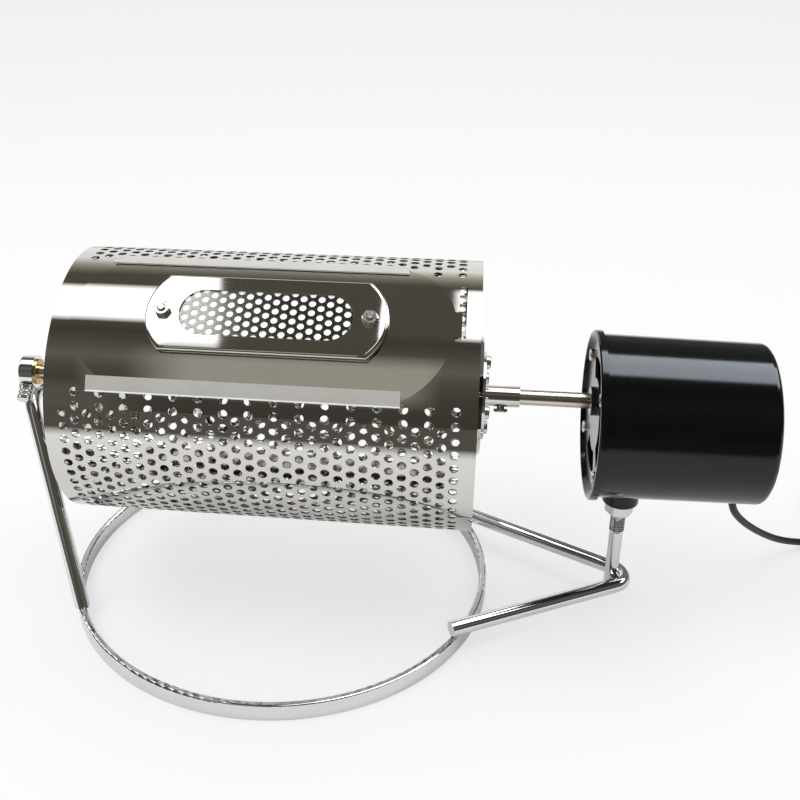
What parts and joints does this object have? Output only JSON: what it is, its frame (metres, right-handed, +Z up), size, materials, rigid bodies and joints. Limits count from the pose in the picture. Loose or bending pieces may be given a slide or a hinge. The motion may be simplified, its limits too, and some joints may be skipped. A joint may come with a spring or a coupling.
{
  "type": "drum coffee roaster",
  "caption": "Perforated steel drum with a sliding door, turned by a geared motor over an open ring stand for a small burner.",
  "frame": {"origin": "centre of the ring stand, on the table", "axes": "+X along the drum's axis towards the motor, +Z up, the door's rest side faces -Y"},
  "size_m": [0.5372, 0.2965, 0.1933],
  "materials": {
    "polished_steel": "mirror-polished stainless sheet",
    "chrome": "bright chrome plating",
    "zinc_screws": "bright zinc",
    "nickel_shaft": "ground, warm nickel tint",
    "brass": "machined",
    "black_enamel": "gloss black",
    "black_steel": "satin black",
    "zinc_plate": "zinc plated",
    "nylon": "natural nylon",
    "ferrite": "sintered",
    "copper": "varnished copper wire",
    "white_pane": "white heat-proof sheet",
    "rubber": "matt",
    "cord_sheath": "smooth PVC",
    "plug_plastic": "satin moulded"
  },
  "bodies": {
    "stand": {"ring_stand": "chrome", "left_stand": "chrome", "bearing_cup": "chrome", "bearing_bush": "brass", "lock_screw": "zinc_screws", "lock_washer": "zinc_screws", "motor_arm": "chrome", "motor_post": "chrome", "post_nut": "zinc_screws", "motor_boss": "black_enamel", "motor_can": "black_enamel", "motor_rim": "black_enamel", "front_plate": "black_steel", "front_plate_screws": "zinc_screws", "gear_standoffs": "nickel_shaft", "gear_plate": "zinc_plate", "idler_pin": "nickel_shaft", "stator_coil": "copper", "motor_housing": "zinc_plate", "cord_grommet": "rubber", "power_cord": "cord_sheath", "cord_coil": "cord_sheath", "plug_body": "plug_plastic", "plug_pins": "nickel_shaft"},
    "drum": {"drum_shell": "polished_steel", "left_end_plate": "polished_steel", "right_end_plate": "polished_steel", "left_hub": "polished_steel", "right_hub": "polished_steel", "left_hub_screws": "zinc_screws", "right_hub_screws": "zinc_screws", "left_hub_nuts": "zinc_screws", "right_hub_nuts": "zinc_screws", "left_axle": "nickel_shaft", "drive_shaft": "nickel_shaft", "coupling_screw": "zinc_screws", "upper_rail": "polished_steel", "lower_rail": "polished_steel", "stirring_vane_1": "polished_steel", "stirring_vane_2": "polished_steel", "stirring_vane_3": "polished_steel", "output_gear": "nylon"},
    "door": {"door_plate": "polished_steel", "window_pane": "white_pane", "window_mesh": "polished_steel", "handle_plate": "polished_steel", "door_spacers": "zinc_screws", "door_screws": "zinc_screws", "door_nuts": "zinc_screws"},
    "idler": {"idler_gear": "brass"},
    "rotor": {"rotor_pinion": "brass", "rotor_shaft": "nickel_shaft", "rotor_magnet": "ferrite"}
  },
  "joints": [
    {"name": "drum_spin", "type": "hinge", "parent": "stand", "child": "drum", "pos_m": [0, 0, 0.1213], "axis": [1, 0, 0], "continuous": true},
    {"name": "door_slide", "type": "slide", "parent": "drum", "child": "door", "axis": [1, 0, 0], "range_m": [0, 0.12]},
    {"name": "idler_spin", "type": "hinge", "parent": "stand", "child": "idler", "pos_m": [0, 0.01921, 0.1174], "axis": [1, 0, 0], "continuous": true},
    {"name": "rotor_spin", "type": "hinge", "parent": "stand", "child": "rotor", "pos_m": [0, 0, 0.1135], "axis": [1, 0, 0], "continuous": true}
  ],
  "couplings": [
    {"joint": "idler_spin", "follows": "drum_spin", "ratio": -3},
    {"joint": "rotor_spin", "follows": "drum_spin", "ratio": 9}
  ]
}
